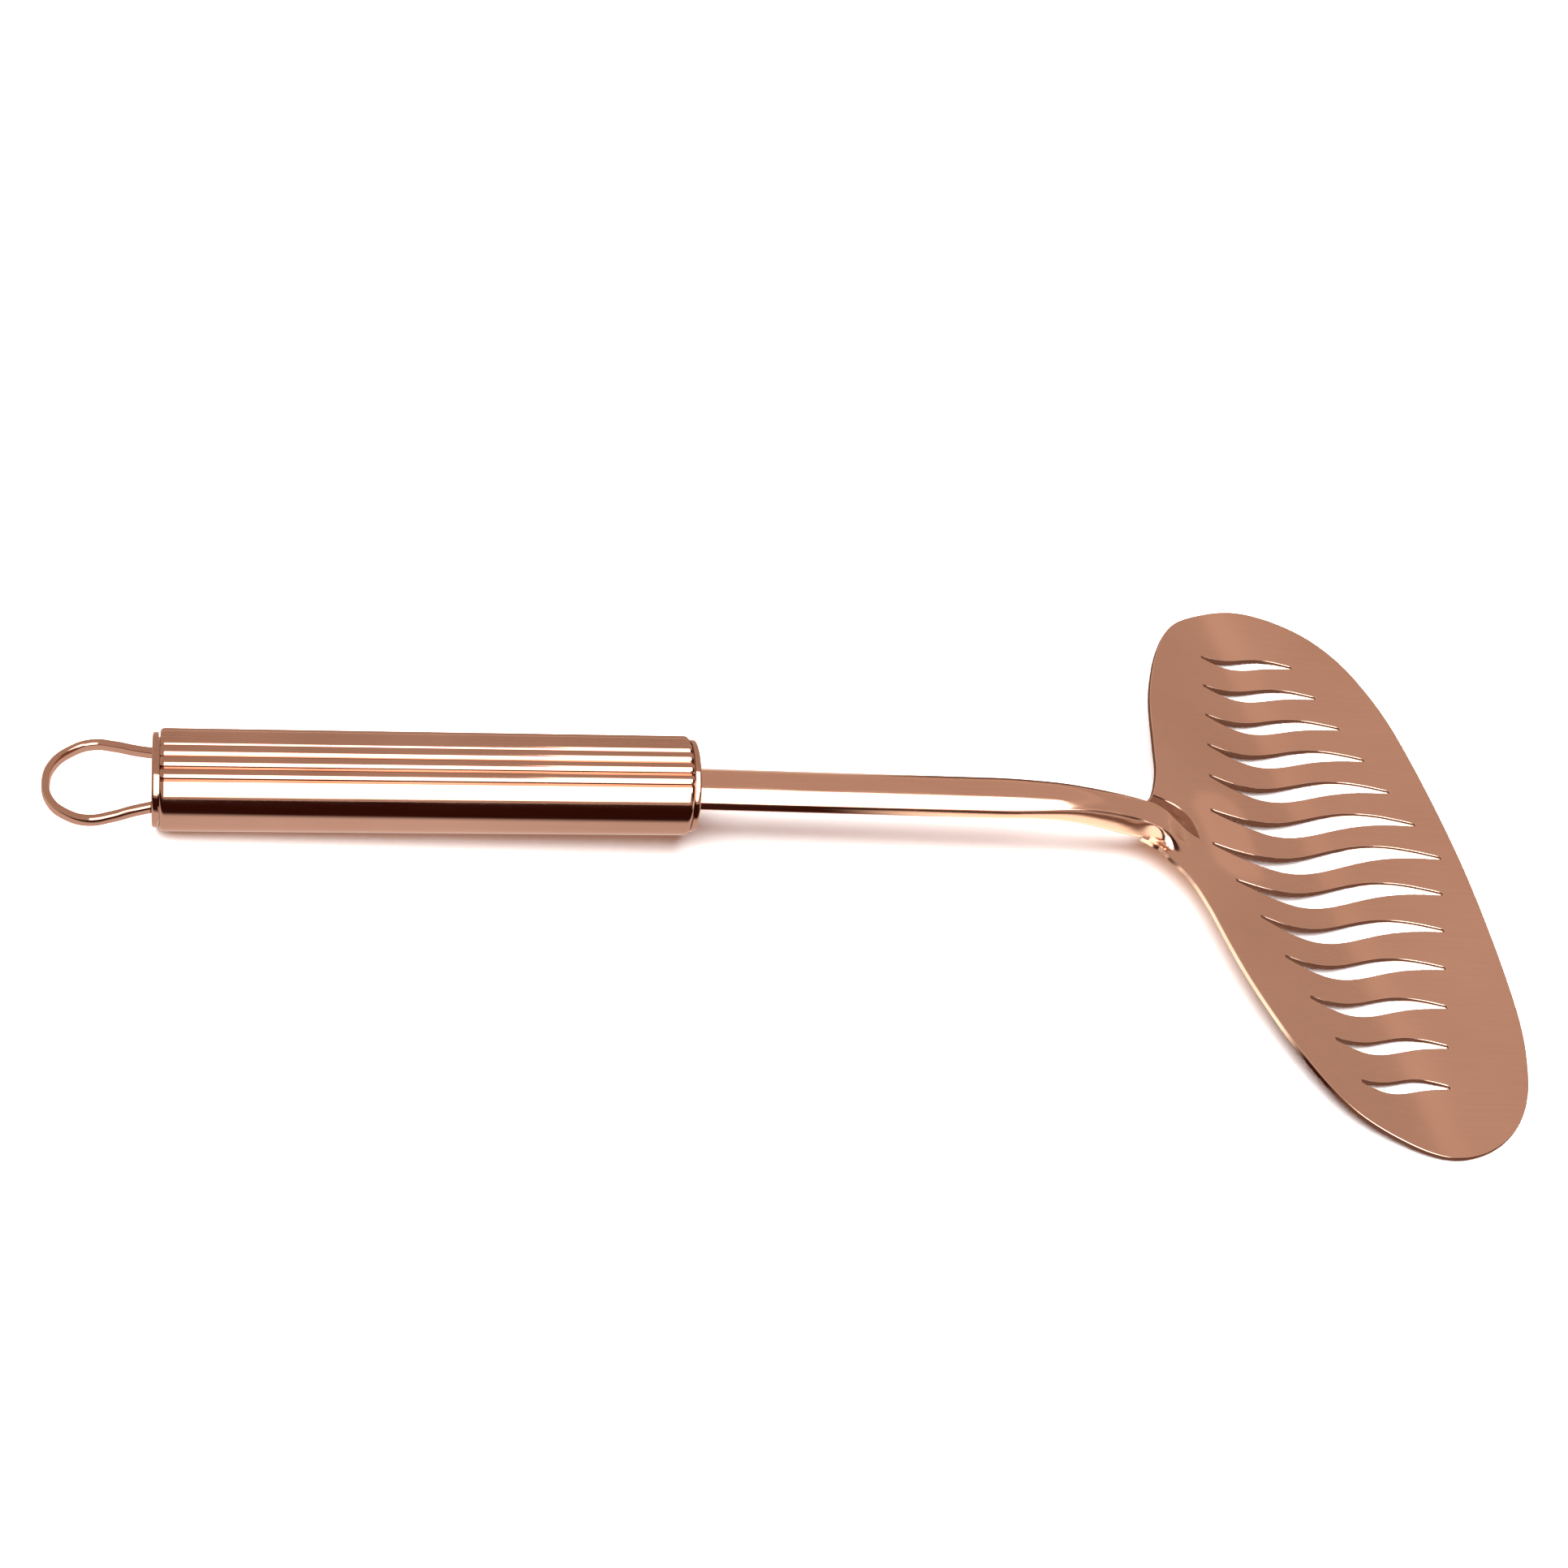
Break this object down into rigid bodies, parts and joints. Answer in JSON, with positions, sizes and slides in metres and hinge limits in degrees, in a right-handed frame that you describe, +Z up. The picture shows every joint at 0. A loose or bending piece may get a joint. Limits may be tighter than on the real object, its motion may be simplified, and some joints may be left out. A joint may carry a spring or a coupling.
{
  "type": "fish spatula",
  "caption": "Wide slotted fish turner pressed from one copper-toned sheet, with a channel shank, a reeded round tube handle and a hanging loop.",
  "frame": {"origin": "centre of the footprint on the table the spatula lies on, blade and rear of handle touching it", "axes": "+X from the hanging loop to the front edge of the blade, +Z up from the table"},
  "size_m": [0.3332, 0.1798, 0.027],
  "materials": {
    "satin_sheet": "satin copper-toned plating on pressed steel sheet",
    "polished_tube": "polished copper-toned plating on steel tube",
    "polished_cap": "polished copper-toned plating",
    "polished_cap_rear": "polished copper-toned plating",
    "polished_band": "polished copper-toned plating on bent band"
  },
  "bodies": {
    "root": {"blade_shank": "satin_sheet", "handle_tube": "polished_tube", "front_cap": "polished_cap", "rear_cap": "polished_cap_rear", "hanging_loop": "polished_band"}
  },
  "joints": []
}
